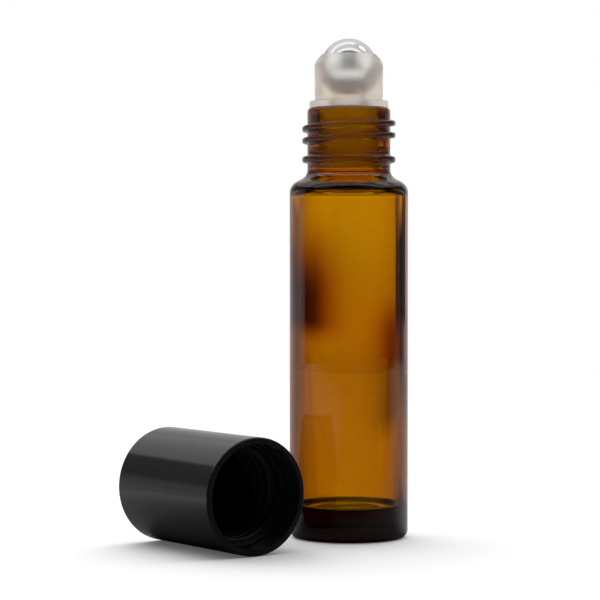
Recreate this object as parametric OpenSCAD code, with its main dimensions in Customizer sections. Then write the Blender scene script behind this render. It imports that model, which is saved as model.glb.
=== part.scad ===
// Roller bottle of amber glass with a ball housing, a steel ball and a screw cap lying beside it.
// Millimetres, +Z up. The origin is on the bottle's axis, at the plane that it stands on.

/* [Bottle] */
// Outer diameter of the glass body
body_d = 20; // [19:0.5:26]
// Height of the glass, from the table to its rim
glass_h = 72.6; // [55:0.1:110]
// Thickness of the body wall
wall_t = 1.4; // [1.2:0.1:2]
// Height of the floor inside over the standing plane
floor_t = 5.2; // [2.6:0.1:6]
// Radius inside, between the floor and the wall
floor_r = 0.8; // [0.5:0.1:3]
// Rise of the hollow under the base
push_up = 0.9; // [0.4:0.1:1.4]
// Width of the flat ring that the bottle stands on
foot_w = 1.6; // [0.8:0.1:2.4]
// Radius of the rounded heel
heel_r = 1.3; // [0.6:0.1:2]
// Distance from the rim down to the top of the straight side
shoulder_drop = 14.4; // [13.8:0.1:18]
// Radius of the shoulder's outer edge
shoulder_r = 2.1; // [1:0.1:2.4]
// Slope of the shoulder, in degrees
shoulder_slope = 28; // [20:1:35]
// Distance from the top of the straight side outside down to the one inside
vault_drop = 0.6; // [0.1:0.1:1.6]
// Radius inside, between the wall and the shoulder
vault_r = 1.2; // [0.8:0.1:2.2]
// Slope of the shoulder inside, in degrees
vault_slope = 30; // [26:1:38]

/* [Neck] */
// Outer diameter of the neck
neck_d = 14; // [13.2:0.1:14.6]
// Thickness of the neck's wall
neck_wall_t = 1.9; // [1.4:0.1:2.2]
// Radius of the fillet between the neck and the shoulder
neck_fillet_r = 1.8; // [1:0.1:2]
// Radius of the rim's outer edge
rim_r = 0.75; // [0.3:0.05:0.9]
// Height of the bead ring over the neck's side
bead_t = 0.9; // [0.6:0.05:1.1]
// Width of the bead ring at its root
bead_w = 1.4; // [0.8:0.1:1.5]
// Distance from the rim down to the middle of the bead ring
bead_drop = 8.8; // [8.4:0.1:9.4]

/* [Thread] */
// Rise of the thread in one turn
pitch = 2; // [1.7:0.1:2.3]
// Height of a thread ridge over its root, on the neck and in the cap
ridge_t = 0.9; // [0.6:0.05:1.1]
// Width of a ridge of the neck's thread at its root
ridge_w = 1.25; // [0.9:0.05:1.3]
// Turns of the neck's thread
neck_turns = 1.75; // [1:0.25:2]
// Distance from the rim down to the upper end of the neck's thread
thread_drop = 2.4; // [1.6:0.1:2.6]
// Angle at which the neck's thread starts, in degrees
thread_start = 99; // [0:1:359]
// Turns of the cap's thread
cap_turns = 4; // [2:0.5:5]
// Radial play between the two threads
thread_play = 0.15; // [0.1:0.05:0.3]

/* [Roller] */
// Diameter of the steel ball
ball_d = 9.5; // [9:0.1:10]
// Height of the ball's top over the rim
ball_rise = 11.6; // [11.4:0.1:13]
// Height of the ball over the housing's lip
ball_show = 2.7; // [2.3:0.1:3]
// Radial play of the ball in its cup
ball_play = 0.06; // [0.04:0.01:0.1]
// Wall of the cup beside the ball
cup_wall_t = 0.95; // [0.8:0.05:1.2]
// Thickness of the snap lip at its opening
lip_t = 0.25; // [0.15:0.05:0.6]
// Height of the rounding between the housing's side and its lip
crown_h = 1.8; // [1:0.1:2]
// Depth of the step between the housing's side and its waist
waist_t = 0.1; // [0.1:0.05:0.4]
// Height of the waist
waist_h = 0.8; // [0.6:0.1:1.6]
// Thickness of the flange that rests on the rim
flange_t = 1.1; // [0.7:0.1:1.3]
// Distance of the flange's edge inside the neck's side
flange_inset = 0.35; // [0:0.05:0.5]
// Bore of the flow hole under the ball
flow_d = 5; // [4.4:0.1:6]
// Number of flow grooves in the cup
groove_count = 4; // [3:1:6]
// Width of a flow groove
groove_w = 1.4; // [0.8:0.1:1.8]
// Depth of a flow groove
groove_t = 0.35; // [0.2:0.05:0.5]

/* [Plug] */
// Depth of the plug in the neck
plug_h = 10.2; // [8:0.1:10.6]
// Thickness of the plug's wall
plug_wall_t = 0.9; // [0.7:0.1:1.1]
// Number of seal rings round the plug
seal_count = 3; // [1:1:4]
// Width of a seal ring at its root
seal_w = 0.9; // [0.6:0.1:1.1]
// Height of a seal ring over the plug's side
seal_t = 0.15; // [0.1:0.05:0.2]

/* [Cap] */
// Wall of the outer shell
shell_t = 1; // [0.8:0.05:1.3]
// Thickness of the shell's closed end
shell_end_t = 1.4; // [0.8:0.1:1.6]
// Radius of the edge round the closed end
cap_edge_r = 0.7; // [0.3:0.1:1]
// Radius of the mouth's outer edge
mouth_r = 0.3; // [0.1:0.05:0.5]
// Wall of the liner behind its thread
liner_t = 0.42; // [0.35:0.01:0.6]
// Thickness of the liner's end plate
plate_t = 1; // [0.7:0.1:1.4]
// Radius of the ring that presses on the ball
ring_r = 3; // [2.4:0.1:3.4]
// Wall of the ring
ring_t = 0.8; // [0.6:0.1:1.2]

/* [Closed cap] */
// Gap between the mouth and the shoulder with the cap screwed on
mouth_gap = 0.3; // [0.2:0.05:0.5]
// Gap between the bead ring and the liner with the cap screwed on
bead_gap = 0.5; // [0.3:0.05:0.8]
// Gap between the ball and the end plate with the cap screwed on
plate_gap = 0.45; // [0.1:0.05:0.6]

/* [Cap at rest] */
// Gap between the sides of the bottle and the cap
cap_gap = 7.5; // [4:0.5:30]
// Distance of the cap's mouth in front of the bottle's axis
cap_forward = 11.15; // [0:0.05:30]

/* [Hidden] */
$fn = 96;

// Overrun of cuts, and depth to which a ridge's root sinks into its wall
over = 0.2;
// Play of a press fit, and what the two ridges of a thread leave free between them
fit_play = 0.02;
flank_play = 0.1;
// Steps of an arc in an outline, and rings in one turn of a thread
arc_steps = 8;
turn_rings = 40;
// Share of a turn over which a thread's end fades, and the share of its ridge that is left there
fade_share = 0.12;
fade_low_share = 0.25;
// Outline of a ridge over its root, from below to above, as shares of its height and of its width
ridge_shares = [[0.5, -0.42], [0.86, -0.25], [1, 0], [0.86, 0.25], [0.5, 0.42]];
// How the housing narrows over its side: 1 for a straight slope, 2 for a round one
crown_bulge = 1.5;

body_r = body_d / 2;
inner_r = body_r - wall_t;
shoulder_z = glass_h - shoulder_drop;
neck_r = neck_d / 2;
bore_r = neck_r - neck_wall_t;
bead_z = glass_h - bead_drop;
foot_r = body_r - heel_r - foot_w;
dome_r = (pow(foot_r, 2) + pow(push_up, 2)) / (2 * push_up);

ball_r = ball_d / 2;
ball_z = glass_h + ball_rise - ball_r;
cup_r = ball_r + ball_play;
lip_z = glass_h + ball_rise - ball_show;
lip_r = sqrt(pow(cup_r, 2) - pow(lip_z - ball_z, 2));
housing_r = cup_r + cup_wall_t;
flange_r = neck_r - flange_inset;
flange_z = glass_h + flange_t;
waist_z = flange_z + waist_h;
flow_r = flow_d / 2;
plug_r = bore_r - fit_play - seal_t;
plug_bore_r = plug_r - plug_wall_t;
plug_z = glass_h - plug_h;
seal_step = plug_h / (seal_count + 1);

liner_root_r = neck_r + ridge_t + thread_play;
liner_r = liner_root_r + liner_t;
shell_r = liner_r + fit_play;
cap_r = shell_r + shell_t;
liner_ridge_w = pitch - ridge_w - flank_play;
// The shoulder's sloping side where the screwed-on cap's mouth comes down on it
shoulder_edge = [
    body_r - shoulder_r + shoulder_r * sin(shoulder_slope),
    shoulder_z + shoulder_r * cos(shoulder_slope)];
closed_z = shoulder_edge[1] + (shoulder_edge[0] - shell_r) * tan(shoulder_slope) + mouth_gap;
plate_z = glass_h + ball_rise + plate_gap;
cap_l = plate_z + plate_t + shell_end_t - closed_z;
mouth_l = bead_z + bead_w / 2 + bead_gap - closed_z;
liner_l = cap_l - shell_end_t - mouth_l;
ring_h = plate_z - ball_z - sqrt(pow(ball_r, 2) - pow(ring_r, 2));
cap_x = -body_r - cap_gap - cap_r;

// Points of an arc round (x, y) from angle a to angle b
function arc(x, y, r, a, b) =
    [for (i = [0:arc_steps]) let(t = a + (b - a) * i / arc_steps) [x + r * cos(t), y + r * sin(t)]];

// Outline that leaves a side of radius r1 at height z1 with a rounding of radius c1, slopes in at s degrees
// and meets a side of radius r2 with a fillet of radius c2
function shoulder(r1, z1, c1, r2, c2, s) =
    let(z2 = z1 + (c1 + c2 - (r2 + c2 - r1 + c1) * sin(s)) / cos(s))
    concat(arc(r1 - c1, z1, c1, 0, 90 - s), arc(r2 + c2, z2, c2, -90 - s, -180));

// Outline of a rounded ring on radius r at height z, t high and w wide, with its root sunk in
function ring_outline(r, z, t, w) = concat(
    [[r - over, z - w / 2]],
    [for (p = ridge_shares) [r + p[0] * t, z + p[1] * w]],
    [[r - over, z + w / 2]]);

// What a thread's end leaves of its ridge at share u of n turns
function fade(u, n) =
    let(e = min(u, 1 - u) * n / fade_share)
    fade_low_share + (1 - fade_low_share) * sin(90 * min(e, 1));

// Right-handed thread from height z up, n turns on radius r, with a ridge t high and w wide. It stands
// outwards where side is 1 and inwards where side is -1.
module thread(r, t, w, n, z, side) {
    rings = ceil(n * turn_rings);
    outline = ring_outline(0, 0, t, w);
    k = len(outline);
    points = [
        for (i = [0:rings])
            let(u = i / rings, a = 360 * n * u, h = fade(u, n))
            for (p = outline)
                let(q = r + side * (p[0] > 0 ? p[0] * h : p[0]))
                [q * cos(a), q * sin(a), z + pitch * n * u + p[1] * h]];
    walls = [
        for (i = [0:rings - 1])
            for (j = [0:k - 1])
                let(a = i * k + j, b = i * k + (j + 1) % k)
                for (f = [[a, b, b + k], [a, b + k, a + k]])
                    side > 0 ? f : [f[2], f[1], f[0]]];
    up = [for (j = [0:k - 1]) j];
    down = [for (j = [0:k - 1]) k - 1 - j];
    top = [for (j = side > 0 ? up : down) rings * k + j];
    polyhedron(points, concat(walls, [side > 0 ? down : up, top]));
}

function glass_outside() = concat(
    arc(0, push_up - dome_r, dome_r, 90, acos(foot_r / dome_r)),
    arc(body_r - heel_r, heel_r, heel_r, -90, 0),
    shoulder(body_r, shoulder_z, shoulder_r, neck_r, neck_fillet_r, shoulder_slope),
    arc(neck_r - rim_r, glass_h - rim_r, rim_r, 0, 90),
    [[0, glass_h]]);

function glass_inside() = concat(
    [[0, floor_t]],
    arc(inner_r - floor_r, floor_t + floor_r, floor_r, -90, 0),
    shoulder(inner_r, shoulder_z - vault_drop, vault_r, bore_r, neck_fillet_r, vault_slope),
    [[bore_r, glass_h + over], [0, glass_h + over]]);

module bottle() {
    color([0.62, 0.34, 0.05])
    rotate(thread_start)
    union() {
        rotate_extrude()
            difference() {
                polygon(glass_outside());
                polygon(glass_inside());
            }
        rotate_extrude() polygon(ring_outline(neck_r, bead_z, bead_t, bead_w));
        thread(neck_r, ridge_t, ridge_w, neck_turns, glass_h - thread_drop - pitch * neck_turns, 1);
    }
}

// Rounding over the housing's side, which ends on the lip
function crown() = [
    for (i = [0:arc_steps])
        let(t = i / arc_steps, edge_r = lip_r + lip_t)
        [edge_r + (housing_r - edge_r) * (1 - pow(t, crown_bulge)), lip_z - crown_h * (1 - t)]];

function housing_outside() = concat(
    [[0, plug_z], [plug_r - seal_t, plug_z], [plug_r, plug_z + seal_w], [plug_r, glass_h], [flange_r, glass_h]],
    [[flange_r, flange_z], [housing_r - waist_t, flange_z], [housing_r - waist_t, waist_z], [housing_r, waist_z]],
    crown(),
    [[0, lip_z]]);

module housing_cup() {
    translate([0, 0, ball_z]) sphere(cup_r);
    translate([0, 0, ball_z]) cylinder(cup_r, lip_r, lip_r);
    translate([0, 0, glass_h - over]) cylinder(ball_z - glass_h, flow_r, flow_r);
    for (i = [0:groove_count - 1])
        rotate(360 * i / groove_count)
            intersection() {
                translate([0, 0, ball_z]) sphere(cup_r + groove_t);
                translate([0, -groove_w / 2, ball_z - cup_r]) cube([cup_r + groove_t, groove_w, cup_r]);
            }
}

module roller_housing() {
    color([0.9, 0.89, 0.86])
    difference() {
        union() {
            rotate_extrude() polygon(housing_outside());
            for (i = [1:seal_count])
                rotate_extrude() polygon(ring_outline(plug_r, plug_z + i * seal_step, seal_t, seal_w));
        }
        housing_cup();
        translate([0, 0, plug_z - over]) cylinder(plug_h + over, plug_bore_r, plug_bore_r);
        translate([0, 0, glass_h - over]) cylinder(flange_t, plug_bore_r, flow_r);
    }
}

module roller_ball() {
    color([0.75, 0.75, 0.76])
    translate([0, 0, ball_z])
    sphere(ball_r);
}

// The cap's pieces are drawn along +Z from the mouth, then laid on their side with the mouth to the front
module lying() {
    translate([cap_x, -cap_forward, cap_r])
    rotate([-90, 0, 0])
    children();
}

module cap_shell() {
    color([0.06, 0.06, 0.065])
    lying()
    rotate_extrude()
    polygon(concat(
        [[shell_r, 0]],
        arc(cap_r - mouth_r, mouth_r, mouth_r, -90, 0),
        arc(cap_r - cap_edge_r, cap_l - cap_edge_r, cap_edge_r, 0, 90),
        [[0, cap_l], [0, cap_l - shell_end_t], [shell_r, cap_l - shell_end_t]]));
}

module cap_thread_liner() {
    under = liner_l - plate_t;
    color([0.09, 0.09, 0.095])
    lying()
    translate([0, 0, mouth_l])
    union() {
        rotate_extrude()
            polygon([
                [liner_root_r, 0], [liner_r, 0], [liner_r, liner_l], [0, liner_l], [0, under],
                [ring_r, under], [ring_r, under - ring_h], [ring_r + ring_t, under - ring_h],
                [ring_r + ring_t, under], [liner_root_r, under]]);
        thread(liner_root_r, ridge_t, liner_ridge_w, cap_turns, liner_ridge_w, -1);
    }
}

bottle();
roller_housing();
roller_ball();
cap_shell();
cap_thread_liner();
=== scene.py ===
"""Looks of a roller bottle: amber glass, milky ball housing, steel ball and black screw cap."""

import math

import bpy
from bpy.props import FloatProperty, FloatVectorProperty, IntProperty, PointerProperty
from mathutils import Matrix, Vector


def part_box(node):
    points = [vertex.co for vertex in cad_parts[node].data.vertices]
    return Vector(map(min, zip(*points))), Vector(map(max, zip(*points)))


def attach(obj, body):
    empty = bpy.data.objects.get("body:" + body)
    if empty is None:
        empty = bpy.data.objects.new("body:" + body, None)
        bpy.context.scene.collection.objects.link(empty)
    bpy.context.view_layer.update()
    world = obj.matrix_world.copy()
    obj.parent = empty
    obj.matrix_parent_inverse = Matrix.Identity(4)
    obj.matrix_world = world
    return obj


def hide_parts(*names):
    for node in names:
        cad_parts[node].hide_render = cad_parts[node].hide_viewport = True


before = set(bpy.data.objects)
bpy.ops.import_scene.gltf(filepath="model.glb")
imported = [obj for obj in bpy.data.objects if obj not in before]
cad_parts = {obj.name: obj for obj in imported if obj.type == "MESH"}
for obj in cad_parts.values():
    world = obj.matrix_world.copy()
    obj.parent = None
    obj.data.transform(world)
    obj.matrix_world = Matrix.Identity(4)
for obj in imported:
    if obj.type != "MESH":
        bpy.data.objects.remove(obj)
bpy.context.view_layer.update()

bl_info = {
    "name": "Roller Bottle",
    "version": (1, 0, 0),
    "blender": (4, 5, 0),
    "location": "3D View > Sidebar > Roller Bottle",
    "description": "Amber roller bottle with its ball housing, ball and screw cap, and its stage",
    "category": "Object",
}

MM = 0.001
GLASS_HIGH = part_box("bottle")[1]
LINER_LOW, LINER_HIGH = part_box("cap_thread_liner")
BALL_LOW, BALL_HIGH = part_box("roller_ball")
LIP_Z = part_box("roller_housing")[1].z

# Directions of the stage as the camera has them: to its right, away from it, and up
TURN = math.radians(36.4)
RIGHT = (math.cos(TURN), -math.sin(TURN), 0)
AHEAD = (math.sin(TURN), math.cos(TURN), 0)
UP = (0, 0, 1)
# The camera's place, the degrees that it looks down by, its sensor in mm and its clip distances
EYE, LOOK_DOWN, SENSOR = (-0.23374, -0.30314, 0.0496), 1.42, 36
CLIP_START, CLIP_END = 0.01, 50

# Points that are nearer than this become one
WELD = 1e-6
# Edges that turn by more than this stay sharp
SHARP = math.radians(38)
# Degrees in a radian
DEGREES = math.degrees(1)

# Shares of a ridge's width at which its domed top would end, its flank starts and its flank ends
DOME_END, FLANK_START, FLANK_END = 0.62, 0.33, 0.56
# Share of a turn in which a thread's end runs out, and the share of its width that is left there
THREAD_FADE, THREAD_TIP = 0.14, 0.4
# Rows of faces under the threads of the glass and of the liner
NECK_ROWS, LINER_ROWS = 140, 130
# Reach of the neck's rows past the thread, where the liner's rows start and their reach past
# its turns, in ridge widths
NECK_MARGIN, LINER_START, LINER_MARGIN = 0.62, 0.2, 1.7
# Steps in the dome under the base, half a bead ring, half a seal ring, the crown and the cup
DOME_STEPS, BEAD_STEPS, SEAL_STEPS, CROWN_STEPS, CUP_STEPS = 12, 16, 6, 12, 40
# Points at the top of the cup that the lip's rounding takes up
LIP_POINTS = 2
# Distances from a groove's middle at which its floor and its flank end, in groove widths
GROOVE_FLOOR, GROOVE_FLANK = 0.36, 0.5
# Distance under the ball's middle at which a groove is at its full depth, in cup radii
GROOVE_FADE = 0.12

# Radii of small edges, in mm: the foot of the glass
FOOT_EDGE = 0.35
# The liner's edges and inner corner, and the root and the edge of the ring in it
LINER_EDGE, LINER_CORNER, RING_ROOT, RING_EDGE = 0.12, 0.3, 0.15, 0.2
# The housing from the plug up to its lip
PLUG_TOP, FLANGE_UNDER, FLANGE_EDGE = 0.05, 0.15, 0.3
WAIST_FOOT, WAIST_TOP, SIDE_FOOT, LIP_OUTER, LIP_INNER = 0.2, 0.1, 0.2, 0.08, 0.06
# The flow hole's lower edge and the roof of the plug round it, and that roof's depth under the rim
FLOW_EDGE, ROOF_EDGE, ROOF_DROP = 0.1, 0.4, 0.2

# Corners of the table's edge
TABLE_CORNERS = 96
# Spans in degrees to the right, for what shows through the glass: where the dark part to the left
# fades out, and where the dark part to the right and the haze come up
LEFT_FADE, RIGHT_FADE, HAZE_SIDE = (-40, 4), (14, 35), (1.5, 13)
# Half the width of the panel overhead and the softness of its sides, in its height over the table
PANEL_HALF, PANEL_SOFT = 1.5, 0.12
# The least slope upwards that is counted in finding a place on it
LEAST_UP = 0.001
# Its stripes, each over the last: share of its level, near edge, far edge and their softness
STRIPES = (
    (0.22, -0.8, 1.6, 0.06),
    (0.66, 0.6, 1.8, 0.06),
    (1, -0.42, 0.62, 0.05),
    (0.62, -0.17, 0.2, 0.05),
)
# Direction of the small lamp: across, ahead and up
LAMP = (0.567, 0.241, 0.788)
# Direction that the daylight comes from: ahead and up
DAY_AHEAD, DAY_UP = 0.66, 0.75
# Colours
BLACK, WHITE, NEAR_WHITE = (0, 0, 0), (1, 1, 1), (0.95, 0.95, 0.95)
FAR_FLOOR, BLOT_TINT = (1, 0.84, 0.7), (1.0, 0.2, 0.08)


def length(name, description, mm):
    """A size in millimetres as a length property."""
    return FloatProperty(
        name=name, description=description, default=mm * MM, min=0, unit="LENGTH", precision=5
    )


def angle(name, description, degrees):
    """An angle in degrees as an angle property."""
    return FloatProperty(
        name=name, description=description, default=math.radians(degrees), subtype="ANGLE"
    )


def number(name, description, value, low=0):
    """A plain number as a property, such as a level of light, 1 for white."""
    return FloatProperty(name=name, description=description, default=value, min=low)


def count(name, description, value, low=0):
    """A whole number as a property."""
    return IntProperty(name=name, description=description, default=value, min=low)


def colour(name, description, value):
    """A colour property."""
    return FloatVectorProperty(
        name=name, description=description, default=value, min=0, max=1, size=3, subtype="COLOR"
    )


class GlassSizes(bpy.types.PropertyGroup):
    """Sizes of the glass bottle."""

    body_r: length("Body radius", "Radius of the glass body", GLASS_HIGH.x / MM)
    height: length("Height", "Height of the glass up to its rim", GLASS_HIGH.z / MM)
    wall: length("Wall", "Thickness of the body wall", 1.4)
    floor: length("Floor", "Height of the floor inside", 5.2)
    floor_r: length("Floor radius", "Radius between the floor and the wall inside", 0.8)
    push_up: length("Push-up", "Rise of the hollow under the base", 0.9)
    foot: length("Foot", "Width of the ring that the bottle stands on", 1.6)
    heel_r: length("Heel radius", "Radius of the rounded heel", 1.3)
    shoulder_drop: length("Shoulder drop", "Distance from the rim to the straight side", 14.4)
    shoulder_r: length("Shoulder radius", "Radius of the shoulder's outer edge", 2.1)
    shoulder_slope: angle("Shoulder slope", "Slope of the shoulder", 28)
    vault_drop: length("Vault drop", "Drop of the straight side inside under the one outside", 0.6)
    vault_r: length("Vault radius", "Radius inside between the wall and the shoulder", 1.2)
    vault_slope: angle("Vault slope", "Slope of the shoulder inside", 30)
    neck_r: length("Neck radius", "Outer radius of the neck", 7)
    neck_wall: length("Neck wall", "Thickness of the neck's wall", 1.9)
    neck_fillet: length("Neck fillet", "Radius of the fillet between neck and shoulder", 1.8)
    rim_r: length("Rim radius", "Radius of the rim's outer edge", 0.75)
    bore_edge: length("Bore edge", "Radius of the rim's inner edge", 0.3)
    bead_height: length("Bead height", "Height of the bead ring over the neck", 0.9)
    bead_width: length("Bead width", "Width of the bead ring", 1.4)
    bead_drop: length("Bead drop", "Distance from the rim to the middle of the bead ring", 8.8)
    ridge_height: length("Thread height", "Height of the thread over the neck", 0.9)
    ridge_width: length("Thread width", "Width of the thread at its root", 1.25)
    thread_drop: length("Thread drop", "Distance from the rim to the thread's upper end", 2.4)
    pitch: length("Pitch", "Rise of the thread in one turn", 2)
    turns: number("Turns", "Turns of the thread", 1.75, 0.5)
    start: angle("Thread start", "Direction in which the thread's lower end lies", 99)
    around: count("Steps", "Faces round the glass", 192, 24)


class HousingSizes(bpy.types.PropertyGroup):
    """Sizes of the ball housing."""

    ball_r: length("Ball radius", "Radius of the ball", (BALL_HIGH.z - BALL_LOW.z) / 2 / MM)
    play: length("Play", "Play of the ball in its cup", 0.06)
    cup_wall: length("Cup wall", "Wall of the cup beside the ball", 0.95)
    lip: length("Lip", "Thickness of the snap lip", 0.25)
    crown: length("Crown", "Height of the rounding between the side and the lip", 1.8)
    bulge: number("Bulge", "Roundness of the crown, 1 for straight", 1.5, 1)
    waist: length("Waist", "Depth of the step over the flange", 0.1)
    waist_height: length("Waist height", "Height of the waist", 0.8)
    flange: length("Flange", "Thickness of the flange", 1.1)
    flange_inset: length("Flange inset", "Distance of its edge inside the neck's side", 0.35)
    flow_r: length("Flow hole", "Radius of the flow hole under the ball", 2.5)
    grooves: count("Grooves", "Number of flow grooves in the cup", 4)
    groove_width: length("Groove width", "Width of a flow groove", 1.4)
    groove: length("Groove depth", "Depth of a flow groove", 0.35)
    plug: length("Plug depth", "Depth of the plug in the neck", 10.2)
    plug_wall: length("Plug wall", "Wall of the plug", 0.9)
    seals: count("Seal rings", "Number of seal rings round the plug", 3)
    seal_width: length("Seal width", "Width of a seal ring", 0.9)
    seal: length("Seal height", "Height of a seal ring", 0.15)
    press: length("Press", "Play of the plug in the bore", 0.02)
    around: count("Steps", "Faces round the housing", 192, 24)


class LinerSizes(bpy.types.PropertyGroup):
    """Sizes of the threaded liner in the cap."""

    outer_r: length("Outer radius", "Radius of its outside", (LINER_HIGH.x - LINER_LOW.x) / 2 / MM)
    wall: length("Wall", "Wall of the liner behind its thread", 0.42)
    depth: length("Length", "Length of the liner", (LINER_HIGH.y - LINER_LOW.y) / MM)
    plate: length("End plate", "Thickness of the end plate", 1)
    ring_r: length("Ring radius", "Inner radius of the ring that presses on the ball", 3)
    ring_wall: length("Ring wall", "Wall of the ring", 0.8)
    ring_height: length("Ring height", "Height of the ring over the plate", 1.517)
    ridge_height: length("Thread height", "Height of the thread over its root", 0.9)
    ridge_width: length("Thread width", "Width of the thread at its root", 0.65)
    turns: number("Turns", "Turns of the thread", 4, 1)
    around: count("Steps", "Faces round the liner", 144, 24)


class Finishes(bpy.types.PropertyGroup):
    """Colours and finishes."""

    glass_tint: colour("Glass tint", "Colour that the glass lets through", (0.898, 0.798, 0.0))
    glass_depth: number("Glass depth", "How strongly the glass takes up light, per metre", 2550)
    milky: colour("Housing", "Colour of the milky housing", (0.985, 0.975, 0.955))
    steel: colour("Ball", "Colour of the polished steel", (0.78, 0.77, 0.76))
    gloss_black: colour("Cap", "Colour of the cap's gloss plastic", (0.006, 0.006, 0.0065))
    satin_black: colour("Liner", "Colour of the liner's satin plastic", (0.005, 0.005, 0.0055))


class StageSettings(bpy.types.PropertyGroup):
    """Camera, floor and light."""

    table_r: length("Table", "Radius of the table", 450)
    table: colour("Table colour", "Colour of the table", (0.62, 0.62, 0.62))
    pale: number("Paleness", "Light that the camera sees the table add to its own", 0.09)
    day: number("Daylight", "Level of the soft light from behind and above", 3.4)
    shade: number("Shade", "Level of the soft light on the camera's side", 0.1)
    floor: number("Floor", "Level of the floor around in reflections", 0.5)
    warm: colour("Floor tint", "Colour of the floor as the glass shows it", (1.0, 0.64, 0.4))
    wall: number("Back wall", "Level of the wall behind the object in reflections", 0.6)
    ceiling: number("Ceiling", "Level of the panel overhead in reflections", 1.15)
    lamp: number("Lamp", "Level of the small lamp in reflections", 1.5)
    left: number("Left side", "Level of the room to the left in reflections", 0.4)
    right: number("Right side", "Level of the room to the right in reflections", 0.13)
    room: number("Room", "Level of the room on the camera's side in reflections", 0.01)
    lens: number("Lens", "Focal length of the camera in millimetres", 135.8, 1)


# outlines


def rounded(corners, steps=8):
    """Points of an outline from its corners (x, z, radius), each rounded by its radius."""
    points = []
    last = len(corners) - 1
    for i, (x, z, r) in enumerate(corners):
        if r == 0 or i in (0, last):
            points.append((x, z))
            continue
        here = Vector((x, z))
        back = (Vector(corners[i - 1][:2]) - here).normalized()
        on = (Vector(corners[i + 1][:2]) - here).normalized()
        half = back.angle(on) / 2
        centre = here + (back + on).normalized() * r / math.sin(half)
        first = here + back * r / math.tan(half) - centre
        final = here + on * r / math.tan(half) - centre
        turn = math.pi - 2 * half
        side = 1 if first.x * final.y - first.y * final.x > 0 else -1
        start = math.atan2(first.y, first.x)
        for k in range(steps + 1):
            a = start + side * turn * k / steps
            points.append((centre.x + r * math.cos(a), centre.y + r * math.sin(a)))
    return points


def run(x, low, high, steps):
    """Points of a straight side at x, spaced evenly, without its two ends."""
    return [(x, low + (high - low) * i / steps) for i in range(1, steps)]


def smooth(low, high, value):
    """A soft step from 0 at low to 1 at high."""
    t = min(max((value - low) / (high - low), 0), 1)
    return t * t * (3 - 2 * t)


def ridge(offset):
    """Height of a moulded ridge at an offset from its middle, in shares of its height and width."""
    u = abs(offset)
    if u >= FLANK_END:
        return 0
    return math.sqrt(1 - (u / DOME_END) ** 2) * (1 - smooth(FLANK_START, FLANK_END, u))


# pieces


def clear_selection():
    """Leaves edit mode and selects nothing."""
    if bpy.context.mode != "OBJECT":
        bpy.ops.object.mode_set(mode="OBJECT")
    bpy.ops.object.select_all(action="DESELECT")


def only(piece):
    """Makes a piece the one that operators act on."""
    clear_selection()
    piece.select_set(True)
    bpy.context.view_layer.objects.active = piece


def turned(name, outline, around):
    """Draws an outline point by point in the XZ plane and spins it round Z into a closed skin."""
    clear_selection()
    x, z = outline[0]
    bpy.ops.mesh.primitive_plane_add(size=MM, location=(x, 0, z))
    piece = bpy.context.object
    piece.name = piece.data.name = name
    bpy.ops.object.transform_apply(location=True, rotation=False, scale=False)
    bpy.ops.object.mode_set(mode="EDIT")
    bpy.ops.mesh.select_all(action="SELECT")
    bpy.ops.mesh.merge(type="CENTER")
    for a, b in zip(outline, outline[1:]):
        step = (b[0] - a[0], 0, b[1] - a[1])
        bpy.ops.mesh.extrude_vertices_move(TRANSFORM_OT_translate={"value": step})
    bpy.ops.mesh.select_all(action="SELECT")
    bpy.ops.mesh.spin(steps=around, angle=math.tau, center=(0, 0, 0), axis=(0, 0, 1))
    bpy.ops.mesh.select_all(action="SELECT")
    bpy.ops.mesh.remove_doubles(threshold=WELD)
    bpy.ops.mesh.normals_make_consistent(inside=False)
    bpy.ops.object.mode_set(mode="OBJECT")
    return piece


def displace(piece, group, strength):
    """Moves a piece's points along their normals by a strength times their weight in a group."""
    only(piece)
    shift = piece.modifiers.new(group.name, "DISPLACE")
    shift.vertex_group = group.name
    shift.mid_level = 0
    shift.strength = strength
    bpy.ops.object.modifier_apply(modifier=shift.name)
    piece.vertex_groups.clear()


def raise_thread(piece, radius, height, width, pitch, turns, low, start):
    """Lifts a right-handed thread out of the skin at a radius."""
    group = piece.vertex_groups.new(name="thread")
    for point in piece.data.vertices:
        if abs(math.hypot(point.co.x, point.co.y) - radius) > WELD:
            continue
        lap = ((math.atan2(point.co.y, point.co.x) - start) % math.tau) / math.tau
        lift = 0
        while lap <= turns:
            ends = math.sin(math.pi / 2 * min(min(lap, turns - lap) / THREAD_FADE, 1))
            wide = width * (THREAD_TIP + (1 - THREAD_TIP) * ends)
            away = (point.co.z - low - pitch * lap) / wide
            lift = max(lift, ridge(away) * ends)
            lap += 1
        if lift > 0:
            group.add([point.index], lift, "REPLACE")
    displace(piece, group, height)


def dress(piece, look, body, slot, *nodes):
    """Shades a piece, gives it its material and body, and hides the solids that it stands for."""
    only(piece)
    bpy.ops.object.shade_smooth_by_angle(angle=SHARP)
    piece.data.materials.clear()
    piece.data.materials.append(look)
    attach(piece, body)
    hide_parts(*nodes)


def refinish(node, look):
    """Gives a solid of the frame its material."""
    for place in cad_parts[node].material_slots:
        place.material = look


# shaders


class Value:
    """A shader socket that takes part in Python sums."""

    def __init__(self, bench, socket):
        self.bench, self.socket = bench, socket

    def math(self, operation, *values):
        """A Math node's result."""
        return self.bench.node("ShaderNodeMath", {"operation": operation}, dict(enumerate(values)))

    def __add__(self, other):
        return self.math("ADD", self, other)

    __radd__ = __add__

    def __sub__(self, other):
        return self.math("SUBTRACT", self, other)

    def __rsub__(self, other):
        return self.math("SUBTRACT", other, self)

    def __mul__(self, other):
        return self.math("MULTIPLY", self, other)

    __rmul__ = __mul__

    def __truediv__(self, other):
        return self.math("DIVIDE", self, other)


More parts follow.
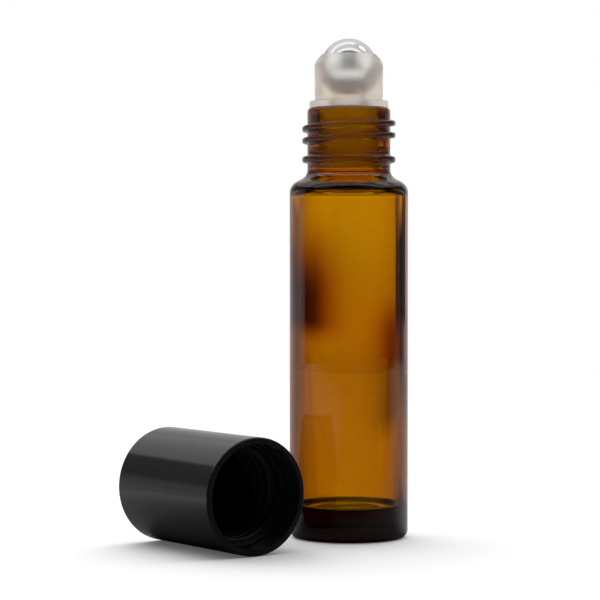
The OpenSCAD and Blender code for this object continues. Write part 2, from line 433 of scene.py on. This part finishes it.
class Bench:
    """A node tree, with one way to put a node in it."""

    def __init__(self, tree):
        self.tree = tree
        tree.nodes.clear()

    def node(self, kind, settings=None, inputs=None, out=0):
        """Puts in a node, with its settings and then its inputs, and gives one of its outputs."""
        made = self.tree.nodes.new(kind)
        for key, value in (settings or {}).items():
            setattr(made, key, value)
        for key, value in (inputs or {}).items():
            if isinstance(value, Value):
                self.tree.links.new(value.socket, made.inputs[key])
            else:
                made.inputs[key].default_value = value
        return Value(self, made.outputs[out])

    def place(self, scale=(1, 1, 1)):
        """Object coordinates, stretched by a scale."""
        spot = self.node("ShaderNodeTexCoord", out="Object")
        return self.node("ShaderNodeMapping", None, {"Vector": spot, "Scale": scale})

    def noise(self, spot, scale, detail, roughness=0.5):
        """Noise from 0 to 1."""
        inputs = {"Vector": spot, "Scale": scale, "Detail": detail, "Roughness": roughness}
        return self.node("ShaderNodeTexNoise", None, inputs)

    def soft(self, value, low, high, start=0, end=1):
        """A soft step from start, where the value is low, to end, where it is high."""
        return self.node(
            "ShaderNodeMapRange",
            {"interpolation_type": "SMOOTHSTEP"},
            {"Value": value, "From Min": low, "From Max": high, "To Min": start, "To Max": end},
        )

    def fall(self, value, low, high):
        """A soft step down from 1 to 0."""
        return self.soft(value, low, high, 1, 0)

    def band(self, value, low, high, edge):
        """1 from low to high and 0 elsewhere, softened by edge to either side of both."""
        rise = self.soft(value, low - edge, low + edge)
        return rise * (1 - self.soft(value, high - edge, high + edge))

    def blend(self, factor, a, b):
        """Colour a where the factor is 0, and b where it is 1."""
        a, b = [c if isinstance(c, Value) else (*c, 1) for c in (a, b)]
        return self.node("ShaderNodeMix", {"data_type": "RGBA"}, {0: factor, 6: a, 7: b}, out=2)

    def along(self, spot, axis):
        """How far a vector reaches along an axis."""
        settings = {"operation": "DOT_PRODUCT"}
        return self.node("ShaderNodeVectorMath", settings, {0: spot, 1: axis}, out="Value")

    def ray(self, kind):
        """1 for rays of a kind."""
        return self.node("ShaderNodeLightPath", out=kind)

    def by_ray(self, plain, mirrored, through, direct):
        """A level by how it is met: by soft light, in a mirror, through glass or directly."""
        level = laid(plain, mirrored, self.ray("Is Glossy Ray"))
        level = laid(level, through, self.ray("Is Transmission Ray"))
        return laid(level, direct, self.ray("Is Camera Ray"))

    def end(self, kind, surface, volume=None):
        """Ends the tree."""
        made = self.tree.nodes.new(kind)
        self.tree.links.new(surface.socket, made.inputs["Surface"])
        if volume:
            self.tree.links.new(volume.socket, made.inputs["Volume"])

    def bump(self, height, strength, distance):
        """Normals of a relief."""
        inputs = {"Height": height, "Strength": strength, "Distance": distance}
        return self.node("ShaderNodeBump", None, inputs)


def laid(under, over, where):
    """A level with another one laid over it where a mask is 1."""
    return under * (1 - where) + over * where


def dimmed(level, share, *masks):
    """A level that loses a share of itself where all masks are 1."""
    for mask in masks:
        share = share * mask
    return level * (1 - share)


def look(name):
    """A new material and its bench."""
    made = bpy.data.materials.new(name)
    made.use_nodes = True
    return made, Bench(made.node_tree)


def surface(bench, inputs, volume=None):
    """Ends a material in a Principled shader, and in a volume where there is one."""
    shader = bench.node("ShaderNodeBsdfPrincipled", None, inputs)
    bench.end("ShaderNodeOutputMaterial", shader, volume)


def scaled(c, k):
    """A colour times a number."""
    return tuple(min(x * k, 1) for x in c)


def amber_glass(f):
    """Clear amber glass, a little wavy as it comes from the mould, with faint marks of handling."""
    made, bench = look("amber_glass_fired")
    wave = bench.noise(bench.place((1, 1, 0.3)), scale=95, detail=1)
    marks = bench.noise(bench.place(), scale=420, detail=4, roughness=0.6)
    dull = (0.985, 0.985, 0.98)
    amber = {"Color": (*f.glass_tint, 1), "Density": f.glass_depth}
    surface(
        bench,
        {
            "Base Color": bench.blend(bench.soft(marks, 0.3, 0.7), dull, WHITE),
            "Roughness": bench.soft(marks, 0.52, 0.8, start=0.0, end=0.035),
            "IOR": 1.52,
            "Transmission Weight": 1.0,
            "Normal": bench.bump(wave, strength=0.25, distance=0.3 * MM),
        },
        bench.node("ShaderNodeVolumeAbsorption", None, amber),
    )
    return made


def milky_plastic(f):
    """Natural polymer, clouded by what is in it, that lets a soft picture of the ball through."""
    made, bench = look("milky_moulded")
    cloud = bench.noise(bench.place(), scale=260, detail=3)
    grain = bench.noise(bench.place(), scale=2600, detail=2)
    clear, cloudy = scaled(f.milky, 0.98), scaled(f.milky, 1.01)
    surface(
        bench,
        {
            "Base Color": bench.blend(bench.soft(cloud, 0.35, 0.65), clear, cloudy),
            "Roughness": bench.soft(cloud, 0.3, 0.7, start=0.5, end=0.58),
            "IOR": 1.2,
            "Transmission Weight": 0.84,
            "Subsurface Weight": 1.0,
            "Subsurface Radius": (1.0, 0.85, 0.7),
            "Subsurface Scale": 0.006,
            "Normal": bench.bump(grain, strength=0.04, distance=0.1 * MM),
        },
    )
    return made


def polished_steel(f):
    """Polished steel with faint brushing from the lapping plates."""
    made, bench = look("steel_polished")
    haze = bench.noise(bench.place(), scale=700, detail=4, roughness=0.6)
    fine = bench.noise(bench.place((1, 1, 9)), scale=1500, detail=3)
    surface(
        bench,
        {
            "Base Color": bench.blend(haze, scaled(f.steel, 0.95), scaled(f.steel, 1.03)),
            "Metallic": 1.0,
            "Roughness": bench.soft(haze, 0.35, 0.75, start=0.05, end=0.1),
            "Normal": bench.bump(fine, strength=0.02, distance=0.1 * MM),
        },
    )
    return made


def gloss_plastic(f):
    """Gloss black plastic with the slow waves of a moulding and a trace of dust haze."""
    made, bench = look("cap_gloss")
    wave = bench.noise(bench.place((1, 0.45, 1)), scale=130, detail=1)
    haze = bench.noise(bench.place(), scale=900, detail=4, roughness=0.65)
    dusty = scaled(f.gloss_black, 1.5)
    surface(
        bench,
        {
            "Base Color": bench.blend(bench.soft(haze, 0.4, 0.7), f.gloss_black, dusty),
            "Roughness": bench.soft(haze, 0.3, 0.8, start=0.07, end=0.12),
            "IOR": 1.5,
            "Normal": bench.bump(wave, strength=0.3, distance=0.3 * MM),
        },
    )
    return made


def satin_plastic(f):
    """Satin black plastic as it comes from the mould."""
    made, bench = look("liner_satin")
    cloud = bench.noise(bench.place(), scale=500, detail=3)
    grain = bench.noise(bench.place(), scale=4200, detail=2)
    surface(
        bench,
        {
            "Base Color": bench.blend(cloud, f.satin_black, scaled(f.satin_black, 1.6)),
            "Roughness": bench.soft(cloud, 0.3, 0.7, start=0.32, end=0.42),
            "IOR": 1.5,
            "Normal": bench.bump(grain, strength=0.12, distance=0.1 * MM),
        },
    )
    return made


# table and room


class View:
    """A place on the table, in metres, or a direction into the room, as the camera has it."""

    def __init__(self, bench, s, coordinates):
        self.bench, self.s = bench, s
        self.spot = bench.node("ShaderNodeTexCoord", out=coordinates)
        self.across, self.ahead = bench.along(self.spot, RIGHT), bench.along(self.spot, AHEAD)
        self.azimuth = self.across.math("ARCTAN2", self.across, self.ahead) * DEGREES
        self.aside = self.azimuth.math("ABSOLUTE", self.azimuth)


class TableTop(View):
    """The table. Each span says where a level starts and stops to change, in metres ahead."""

    # In mirrors: where the bright sides start, in degrees from straight ahead
    SIDES = (68, 108)
    # The painted shade of the rest, and how much it is lifted from just before the bottle on
    DIM, NEAR, NEAR_LIFT = 0.03, (-0.04, -0.012), 0.14
    # The painted pool of light round the cap: its right end, its far end, its end to the camera and
    # its level
    LIT_RIGHT, LIT_FAR, LIT_NEAR, LIT = (-0.09, -0.02), (0, 0.03), (-0.35, -0.1), 0.28
    # Through the glass: the painted shadow behind the bottle, and the levels of it and of the rest
    SHADOW, SHADOW_LEVELS = (0.026, 0.05), (0.02, 0.5)
    # Painted shade to the left and to the right: the levels across each
    LEFT_LEVELS, RIGHT_LEVELS = (0.4, 1), (1, 0.45)
    # Painted shade of the haze to the right behind the bottle: where it comes up ahead, and the
    # share that it takes away
    HAZE, HAZE_SHARE = (0.15, 0.25), 0.6
    # The painted light before the bottle: its far end, and its levels from the camera on
    FRONT, FRONT_REACH, FRONT_LEVELS = (-0.03, -0.01), (-0.3, -0.08), (0.15, 0.9)
    # Where white turns to the floor's warm tint
    WARM = (-0.03, 0)
    # The faint mottling of the table itself
    CLOTH_SCALE, CLOTH_DARK = 6, 0.99

    def __init__(self, bench, s):
        super().__init__(bench, s, "Object")

    def mirrored(self):
        """Levels in mirrors: dim ahead, bright to the sides and lit round the cap."""
        bench, ahead = self.bench, self.ahead
        dim = self.DIM + self.NEAR_LIFT * bench.soft(ahead, *self.NEAR)
        level = laid(dim, self.s.floor, bench.fall(self.aside, *self.SIDES))
        lit = bench.fall(self.across, *self.LIT_RIGHT) * bench.fall(ahead, *self.LIT_FAR)
        # Adds the painted pool of light round the cap
        return level + self.LIT * lit * bench.soft(ahead, *self.LIT_NEAR)

    def through(self):
        """Levels through the glass: shadow and haze behind the bottle, white before it."""
        bench, ahead, azimuth = self.bench, self.ahead, self.azimuth
        # Painted shadow behind the bottle, with painted shade to the left, the right and in the
        # haze
        level = bench.soft(ahead, *self.SHADOW, *self.SHADOW_LEVELS)
        level = level * bench.soft(azimuth, *LEFT_FADE, *self.LEFT_LEVELS)
        haze = bench.soft(azimuth, *HAZE_SIDE)
        level = dimmed(level, self.HAZE_SHARE, haze, bench.soft(ahead, *self.HAZE))
        # Painted light on the table before the bottle
        front = bench.fall(ahead, *self.FRONT)
        front = front * bench.soft(ahead, *self.FRONT_REACH, *self.FRONT_LEVELS)
        return level * bench.soft(azimuth, *RIGHT_FADE, *self.RIGHT_LEVELS) + front

    def paper(self):
        """Colour of the table: its own, and tinted where it shows through the glass."""
        bench, s = self.bench, self.s
        cloth = bench.noise(bench.place(), scale=self.CLOTH_SCALE, detail=3)
        paper = bench.blend(cloth, scaled(s.table, self.CLOTH_DARK), s.table)
        glassy = bench.ray("Is Transmission Ray")
        paper = bench.blend(glassy * bench.soft(self.ahead, *self.WARM), paper, s.warm)
        # Near white before the bottle, as painted light that the glass shows
        return bench.blend(glassy * bench.fall(self.ahead, *self.WARM), paper, NEAR_WHITE)


class Room(View):
    """The room. Each span says where a level starts and stops to change, in degrees.

    A third number is the softness of both ends. A share is what a part takes away.
    """

    # In mirrors: where the left side meets the floor, and gets darker farther up, to a share
    LEFT_FLOOR, LEFT_UPPER, LEFT_UPPER_SHARE = (-1.5, 1), (4, 12), 0.4
    # Where the right side meets the floor, and where the floor reaches higher, with that part's end
    RIGHT_FLOOR, RIGHT_FAR, RIGHT_FAR_END = (-3.8, -3.1), (-2.3, -1.6), (44, 54)
    # Where left turns to right, and where the camera's side starts
    MIDDLE, CAMERA_SIDE = (-12, 12), (77, 89)
    # The back wall: its left and right end and its top
    WALL_LEFT, WALL_RIGHT, WALL_TOP = (-42, -12), (35, 41), (38, 44)
    # The lamp's glow and the lamp, by how near a direction is to its own, with the glow's level
    GLOW, BULB = (0.9, 0.96), (0.978, 0.992)
    GLOW_LEVEL, GLOW_SHARE = 0.5, 0.7
    # Where the daylight rises from the shade
    DAY = (0.15, 1.0)
    # Through the glass: the horizon and the end of the far floor, with their levels
    HORIZON, HORIZON_LEVELS = (-1.2, 1.0), (0.93, 1.1)
    FAR, FAR_LEVELS = (-3.6, -2.4), (0.8, 1)
    # Ends of the darker parts to the left and right, and the shares that they lose
    LEFT_END, RIGHT_END = (-82, -66), (66, 82)
    LEFT_SHARE, RIGHT_SHARE = 0.65, 0.55
    # The dark gap high up: where it starts, where it ends, its share
    GAP_LOW, GAP_HIGH, GAP_SHARE = (13, 24), (42, 55), 0.96
    # The brighter strip behind the neck: its lower, upper and side ends, and its gains
    STRIP_LOW, STRIP_HIGH, STRIP_SIDES = (1.5, 2.5), (6, 9), (40, 70)
    STRIP_GAIN, STRIP_SIDE_GAIN, STRIP_ASIDE = 0.35, 1.4, (10, 30)
    # The dark strip in it, which shows in the glass's floor: height, side ends, share
    DARK_STRIP, DARK_SIDES, DARK_SHARE = (5.2, 9, 0.6), (50, 60), 0.85
    # The brighter parts at the far sides: where they start, their height and gain
    BESIDE, BESIDE_UP, BESIDE_GAIN = (64, 80), (2, 22, 4), 0.5
    # What lies behind the camera
    BEHIND, BEHIND_LEVEL = (125, 160), 0.15
    # The blot low on the left: its right, upper and lower end, its share
    BLOT_RIGHT, BLOT_HIGH, BLOT_LOW, BLOT_SHARE = (-6.8, 2.8), (-1.5, 1.1), (-2.9, -2.1), 0.9
    # The haze low on the right: its height, its share and its part of the blot's tint
    HAZE, HAZE_SHARE, HAZE_TINT = (-4.8, -1.9, 0.8), 0.6, 0.7
    # The dark bars to the right, one low and one high
    LOW_BAR, LOW_BAR_UP = (20, 62, 3), (-2.4, 1.3, 0.5)
    HIGH_BAR, HIGH_BAR_UP, HIGH_BAR_SHARE = (19, 40, 3), (0.6, 1.4), 0.8
    # Where the floor's warm tint ends, and where the upper sides turn white
    TINT_END, WHITE_UP, WHITE_SIDES = (-2.6, 0.5), (6, 16), (50, 90)

    def __init__(self, bench, s):
        super().__init__(bench, s, "Generated")
        self.up = bench.along(self.spot, UP)
        self.elevation = self.up.math("ARCSINE", self.up) * DEGREES
        blot = bench.fall(self.azimuth, *self.BLOT_RIGHT)
        blot = blot * bench.fall(self.elevation, *self.BLOT_HIGH)
        self.blot = blot * bench.soft(self.elevation, *self.BLOT_LOW)
        haze = bench.soft(self.azimuth, *HAZE_SIDE)
        self.haze = haze * bench.band(self.elevation, *self.HAZE)

    def daylight(self):
        """Levels of the soft light from behind and above."""
        toward = DAY_AHEAD * self.ahead + DAY_UP * self.up
        return self.bench.soft(toward, *self.DAY, self.s.shade, self.s.day)

    def mirrored(self):
        """Levels in mirrors: both sides, the back wall, the panel overhead and the small lamp."""
        bench, s, azimuth, elevation = self.bench, self.s, self.azimuth, self.elevation
        upper = bench.soft(elevation, *self.LEFT_UPPER)
        left = laid(s.left, self.LEFT_UPPER_SHARE * s.left, upper)
        left = bench.soft(elevation, *self.LEFT_FLOOR, s.floor, left)
        far = bench.fall(elevation, *self.RIGHT_FAR) * bench.fall(azimuth, *self.RIGHT_FAR_END)
        right = laid(s.right, s.floor, far)
        right = laid(right, s.floor, bench.fall(elevation, *self.RIGHT_FLOOR))
        level = laid(left, right, bench.soft(azimuth, *self.MIDDLE))
        level = laid(level, s.room, bench.soft(self.aside, *self.CAMERA_SIDE))
        wall = bench.soft(azimuth, *self.WALL_LEFT) * bench.fall(azimuth, *self.WALL_RIGHT)
        level = laid(level, s.wall, wall * bench.fall(elevation, *self.WALL_TOP))
        height = self.up.math("MAXIMUM", self.up, LEAST_UP)
        reach = self.ahead / height
        panel = bench.band(self.across / height, -PANEL_HALF, PANEL_HALF, PANEL_SOFT)
        for share, near, far, edge in STRIPES:
            level = laid(level, share * s.ceiling, panel * bench.band(reach, near, far, edge))
        toward = LAMP[0] * self.across + LAMP[1] * self.ahead + LAMP[2] * self.up
        level = laid(level, self.GLOW_LEVEL, self.GLOW_SHARE * bench.soft(toward, *self.GLOW))
        return laid(level, s.lamp, bench.soft(toward, *self.BULB))

    def through(self):
        """Levels through the glass: the floor, the horizon and all that is darker or brighter."""
        bench, s, azimuth, elevation = self.bench, self.s, self.azimuth, self.elevation
        level = bench.soft(elevation, *self.HORIZON, *self.HORIZON_LEVELS)
        level = level * bench.soft(elevation, *self.FAR, *self.FAR_LEVELS)
        left, right = bench.fall(azimuth, *LEFT_FADE), bench.soft(azimuth, *RIGHT_FADE)
        level = dimmed(level, self.LEFT_SHARE, left, bench.soft(azimuth, *self.LEFT_END))
        level = dimmed(level, self.RIGHT_SHARE, right, bench.fall(azimuth, *self.RIGHT_END))
        gap = bench.soft(elevation, *self.GAP_LOW) * bench.fall(elevation, *self.GAP_HIGH)
        level = dimmed(level, self.GAP_SHARE, gap, bench.fall(self.aside, *self.RIGHT_END))
        strip = bench.soft(elevation, *self.STRIP_LOW) * bench.fall(self.aside, *self.STRIP_SIDES)
        strip = strip * bench.fall(elevation, *self.STRIP_HIGH)
        more = self.STRIP_SIDE_GAIN * bench.soft(self.aside, *self.STRIP_ASIDE)
        level = level * (1 + strip * (self.STRIP_GAIN + more))
        dark = bench.band(elevation, *self.DARK_STRIP)
        level = dimmed(level, self.DARK_SHARE, dark, bench.fall(self.aside, *self.DARK_SIDES))
        beside = bench.soft(self.aside, *self.BESIDE) * bench.band(elevation, *self.BESIDE_UP)
        level = level * (1 + self.BESIDE_GAIN * beside)
        level = laid(level, self.BEHIND_LEVEL, bench.soft(self.aside, *self.BEHIND))
        level = dimmed(level, self.BLOT_SHARE, self.blot)
        level = dimmed(level, self.HAZE_SHARE, self.haze)
        bar = bench.band(azimuth, *self.LOW_BAR) * bench.band(elevation, *self.LOW_BAR_UP)
        level = laid(level, s.room, bar)
        bar = bench.band(azimuth, *self.HIGH_BAR) * bench.soft(elevation, *self.HIGH_BAR_UP)
        return laid(level, s.room, bar * self.HIGH_BAR_SHARE)

    def tint(self):
        """Colour of the room: warm to the floor, white at the upper sides, brown at the blot."""
        bench = self.bench
        floor = bench.fall(self.elevation, *self.TINT_END)
        tint = bench.blend(floor, FAR_FLOOR, self.s.warm)
        glassy = bench.ray("Is Transmission Ray")
        upper = glassy * bench.fall(self.elevation, *self.WHITE_UP)
        tint = bench.blend(upper * bench.fall(self.aside, *self.WHITE_SIDES), WHITE, tint)
        amber = self.blot.math("MAXIMUM", self.blot, self.HAZE_TINT * self.haze)
        return bench.blend(glassy * amber, tint, BLOT_TINT)


# operators


class MakeGlass(bpy.types.Operator):
    """Models the glass bottle with its thread, bead ring, shoulder, heel and pushed-up base."""

    bl_idname = "roller_bottle.glass"
    bl_label = "Glass bottle"

    def execute(self, context):
        g = context.scene.roller_glass
        inner_r, bore_r = g.body_r - g.wall, g.neck_r - g.neck_wall
        foot_r = g.body_r - g.heel_r - g.foot
        dome_r = (foot_r**2 + g.push_up**2) / (2 * g.push_up)
        reach = math.asin(foot_r / dome_r)
        outline = []
        for i in range(DOME_STEPS):
            a = reach * i / DOME_STEPS
            outline.append((dome_r * math.sin(a), g.push_up - dome_r * (1 - math.cos(a))))
        shoulder_z = g.height - g.shoulder_drop
        edge = shoulder_z + g.shoulder_r * math.tan(math.pi / 4 - g.shoulder_slope / 2)
        foot_of_neck = edge + (g.body_r - g.neck_r) * math.tan(g.shoulder_slope)
        outline += rounded(
            [
                (*outline[-1], 0),
                (foot_r, 0, FOOT_EDGE * MM),
                (g.body_r, 0, g.heel_r),
                (g.body_r, edge, g.shoulder_r),
                (g.neck_r, foot_of_neck, g.neck_fillet),
                (g.neck_r, g.height - g.bead_drop - g.bead_width, 0),
            ]
        )[1:]
        bead_z = g.height - g.bead_drop
        for i in range(-BEAD_STEPS, BEAD_STEPS + 1):
            u = FLANK_END * i / BEAD_STEPS
            outline.append((g.neck_r + g.bead_height * ridge(u), bead_z + g.bead_width * u))
        low = g.height - g.thread_drop - g.pitch * g.turns
        margin = NECK_MARGIN * g.ridge_width
        zone = (low - margin, g.height - g.thread_drop + margin)
        outline.append((g.neck_r, zone[0]))
        outline += run(g.neck_r, *zone, NECK_ROWS)
        outline.append((g.neck_r, zone[1]))
        vault_z = shoulder_z - g.vault_drop + g.vault_r * math.tan(math.pi / 4 - g.vault_slope / 2)
        bore_z = vault_z + (inner_r - bore_r) * math.tan(g.vault_slope)
        outline += rounded(
            [
                (g.neck_r, zone[1], 0),
                (g.neck_r, g.height, g.rim_r),
                (bore_r, g.height, g.bore_edge),
                (bore_r, bore_z, g.neck_fillet),
                (inner_r, vault_z, g.vault_r),
                (inner_r, g.floor, g.floor_r),
                (0, g.floor, 0),
            ]
        )[1:]
        piece = turned("glass_bottle", outline, g.around)
        thread = (g.ridge_height, g.ridge_width, g.pitch, g.turns)
        raise_thread(piece, g.neck_r, *thread, low, g.start)
        dress(piece, amber_glass(context.scene.roller_finish), "glass", "amber_glass", "bottle")
        return {"FINISHED"}


class MakeLiner(bpy.types.Operator):
    """Models the threaded liner with its end plate and the ring that presses on the ball."""

    bl_idname = "roller_bottle.liner"
    bl_label = "Cap liner"

    def execute(self, context):
        s = context.scene.roller_liner
        pitch = context.scene.roller_glass.pitch
        root_r, under = s.outer_r - s.wall, s.depth - s.plate
        zone = (LINER_START * s.ridge_width, s.ridge_width * LINER_MARGIN + pitch * s.turns)
        ring_out, ring_end = s.ring_r + s.ring_wall, under - s.ring_height
        outline = rounded(
            [
                (0, under, 0),
                (s.ring_r, under, RING_ROOT * MM),
                (s.ring_r, ring_end, RING_EDGE * MM),
                (ring_out, ring_end, RING_EDGE * MM),
                (ring_out, under, RING_ROOT * MM),
                (root_r, under, LINER_CORNER * MM),
                (root_r, zone[1], 0),
            ],
            steps=5,
        )
        outline += reversed(run(root_r, *zone, LINER_ROWS))
        outline += rounded(
            [
                (root_r, zone[0], 0),
                (root_r, 0, LINER_EDGE * MM),
                (s.outer_r, 0, LINER_EDGE * MM),
                (s.outer_r, s.depth, LINER_EDGE * MM),
                (0, s.depth, 0),
            ],
            steps=4,
        )
        piece = turned("cap_liner", outline, s.around)
        thread = (s.ridge_height, s.ridge_width, pitch, s.turns)
        raise_thread(piece, root_r, *thread, s.ridge_width, 0)
        middle = (LINER_LOW + LINER_HIGH) / 2
        piece.location = (middle.x, LINER_LOW.y, middle.z)
        piece.rotation_euler.x = -math.pi / 2
        only(piece)
        bpy.ops.object.transform_apply(location=True, rotation=True, scale=False)
        satin = satin_plastic(context.scene.roller_finish)
        dress(piece, satin, "cap", "black_satin", "cap_thread_liner")
        return {"FINISHED"}


class MakeHousing(bpy.types.Operator):
    """Models the ball housing with its lip, cup, flow grooves, flange and plug."""

    bl_idname = "roller_bottle.housing"
    bl_label = "Ball housing"

    def execute(self, context):
        g, h = context.scene.roller_glass, context.scene.roller_housing
        cup_r, middle = h.ball_r + h.play, BALL_HIGH.z - h.ball_r
        side_r = cup_r + h.cup_wall
        lip_r = math.sqrt(cup_r**2 - (LIP_Z - middle) ** 2)
        edge_r, crown_z = lip_r + h.lip, LIP_Z - h.crown
        plug_r = g.neck_r - g.neck_wall - h.press - h.seal
        bore_r, plug_z = plug_r - h.plug_wall, g.height - h.plug
        flange_r, flange_z = g.neck_r - h.flange_inset, g.height + h.flange
        outline = [(bore_r, plug_z), (plug_r - h.seal, plug_z), (plug_r, plug_z + h.seal_width)]
        for i in range(1, h.seals + 1):
            z = plug_z + i * h.plug / (h.seals + 1)
            for k in range(-SEAL_STEPS, SEAL_STEPS + 1):
                u = FLANK_END * k / SEAL_STEPS
                outline.append((plug_r + h.seal * ridge(u), z + h.seal_width * u))
        outline += rounded(
            [
                (*outline[-1], 0),
                (plug_r, g.height, PLUG_TOP * MM),
                (flange_r, g.height, FLANGE_UNDER * MM),
                (flange_r, flange_z, FLANGE_EDGE * MM),
                (side_r - h.waist, flange_z, WAIST_FOOT * MM),
                (side_r - h.waist, flange_z + h.waist_height, WAIST_TOP * MM),
                (side_r, flange_z + h.waist_height + h.waist, SIDE_FOOT * MM),
                (side_r, crown_z, 0),
            ],
            steps=5,
        )[1:]
        for i in range(1, CROWN_STEPS):
            t = i / CROWN_STEPS
            outline.append((edge_r + (side_r - edge_r) * (1 - t**h.bulge), crown_z + h.crown * t))
        top, low = math.asin((LIP_Z - middle) / cup_r), -math.acos(h.flow_r / cup_r)
        turns = [top + (low - top) * i / CUP_STEPS for i in range(CUP_STEPS + 1)]
        cup = [(cup_r * math.cos(a), middle + cup_r * math.sin(a)) for a in turns]
        lip = [
            (*outline[-1], 0),
            (edge_r, LIP_Z, LIP_OUTER * MM),
            (*cup[0], LIP_INNER * MM),
            (*cup[LIP_POINTS], 0),
        ]
        outline += rounded(lip, steps=4)[1:-1] + cup[LIP_POINTS:]
        outline += rounded(
            [
                (*outline.pop(), 0),
                (h.flow_r, flange_z, FLOW_EDGE * MM),
                (bore_r, g.height - ROOF_DROP * MM, ROOF_EDGE * MM),
                (bore_r, plug_z, 0),
            ],
            steps=4,
        )
        piece = turned("ball_housing", outline, h.around)
        self.press_grooves(piece, h, cup_r, middle)
        milky = milky_plastic(context.scene.roller_finish)
        dress(piece, milky, "glass", "milky_plastic", "roller_housing")
        return {"FINISHED"}

    def press_grooves(self, piece, h, cup_r, middle):
        """Sinks the flow grooves into the cup under the ball."""
        if h.grooves == 0:
            return
        group = piece.vertex_groups.new(name="grooves")
        turn = math.tau / h.grooves
        for point in piece.data.vertices:
            out = point.co - Vector((0, 0, middle))
            if abs(out.length - cup_r) > WELD or out.z > 0:
                continue
            a = (math.atan2(out.y, out.x) + turn / 2) % turn - turn / 2
            aside = abs(math.hypot(out.x, out.y) * math.sin(a)) / h.groove_width
            depth = 1 - smooth(GROOVE_FLOOR, GROOVE_FLANK, aside)
            depth *= smooth(0, GROOVE_FADE, -out.z / cup_r)
            if depth > 0:
                group.add([point.index], depth, "REPLACE")
        displace(piece, group, -h.groove)


class FinishBall(bpy.types.Operator):
    """Gives the ball its polished steel."""

    bl_idname = "roller_bottle.ball"
    bl_label = "Ball"

    def execute(self, context):
        refinish("roller_ball", polished_steel(context.scene.roller_finish))
        return {"FINISHED"}


class FinishCap(bpy.types.Operator):
    """Gives the cap's shell its gloss black plastic."""

    bl_idname = "roller_bottle.cap"
    bl_label = "Cap shell"

    def execute(self, context):
        refinish("cap_shell", gloss_plastic(context.scene.roller_finish))
        return {"FINISHED"}


class SetStage(bpy.types.Operator):
    """Lays the table, sets the light round the object and places the camera."""

    bl_idname = "roller_bottle.stage"
    bl_label = "Stage"

    def execute(self, context):
        s = context.scene.roller_stage
        self.table(s)
        self.light(context.scene, s)
        self.camera(context.scene, s)
        context.scene.view_settings.view_transform = "Standard"
        return {"FINISHED"}

    def table(self, s):
        """Lays a round table, with levels of its own in mirrors and through glass."""
        clear_selection()
        bpy.ops.mesh.primitive_circle_add(
            vertices=TABLE_CORNERS, radius=s.table_r, fill_type="NGON"
        )
        table = bpy.context.object
        table.name = table.data.name = "table"
        made, bench = look("table_white")
        top = TableTop(bench, s)
        # Painted light and shade for mirrors and glass, multiplied into the table's colour
        painted_light_and_shade = bench.by_ray(1, top.mirrored(), top.through(), 1)
        paper = bench.blend(painted_light_and_shade, BLACK, top.paper())
        plain = bench.node("ShaderNodeBsdfDiffuse", None, {"Color": paper})
        pale = bench.ray("Is Camera Ray") * s.pale
        glow = bench.node("ShaderNodeEmission", None, {"Strength": pale})
        both = bench.node("ShaderNodeAddShader", None, {0: plain, 1: glow})
        bench.end("ShaderNodeOutputMaterial", both)
        table.data.materials.append(made)

    def light(self, scene, s):
        """Lights the object from a world that has a level for each direction."""
        world = bpy.data.worlds.new("studio")
        world.use_nodes = True
        scene.world = world
        bench = Bench(world.node_tree)
        room = Room(bench, s)
        strength = bench.by_ray(room.daylight(), room.mirrored(), room.through(), 1)
        inputs = {"Color": room.tint(), "Strength": strength}
        bench.end("ShaderNodeOutputWorld", bench.node("ShaderNodeBackground", None, inputs))

    def camera(self, scene, s):
        """Places the camera where the photograph was taken from."""
        down = math.radians(90 - LOOK_DOWN)
        bpy.ops.object.camera_add(location=EYE, rotation=(down, 0, -TURN))
        camera = bpy.context.object
        camera.name = camera.data.name = "camera"
        camera.data.sensor_width = SENSOR
        camera.data.lens = s.lens
        camera.data.clip_start, camera.data.clip_end = CLIP_START, CLIP_END
        scene.camera = camera


class RollerBottlePanel(bpy.types.Panel):
    """Lists the pieces in the sidebar."""

    bl_idname = "VIEW3D_PT_roller_bottle"
    bl_label = "Roller Bottle"
    bl_space_type = "VIEW_3D"
    bl_region_type = "UI"
    bl_category = "Roller Bottle"

    def draw(self, context):
        for maker in OPERATORS:
            self.layout.operator(maker.bl_idname)
        for name, group in GROUPS.items():
            column = self.layout.column(heading=group.__doc__)
            for key in group.__annotations__:
                column.prop(getattr(context.scene, name), key)


OPERATORS = (SetStage, MakeGlass, MakeHousing, FinishBall, FinishCap, MakeLiner)
GROUPS = {
    "roller_glass": GlassSizes,
    "roller_housing": HousingSizes,
    "roller_liner": LinerSizes,
    "roller_finish": Finishes,
    "roller_stage": StageSettings,
}


def register():
    """Adds the settings, the operators and the panel."""
    for name, group in GROUPS.items():
        bpy.utils.register_class(group)
        setattr(bpy.types.Scene, name, PointerProperty(type=group))
    for made in (*OPERATORS, RollerBottlePanel):
        bpy.utils.register_class(made)


def unregister():
    """Takes away what register adds."""
    for made in reversed((*OPERATORS, RollerBottlePanel)):
        bpy.utils.unregister_class(made)
    for name, group in GROUPS.items():
        delattr(bpy.types.Scene, name)
        bpy.utils.unregister_class(group)


def main():
    """Builds all pieces and the stage, and writes the boxes of the solids and of the result."""
    register()
    for maker in OPERATORS:
        group, name = maker.bl_idname.split(".")
        getattr(getattr(bpy.ops, group), name)()


if __name__ == "__main__":
    main()
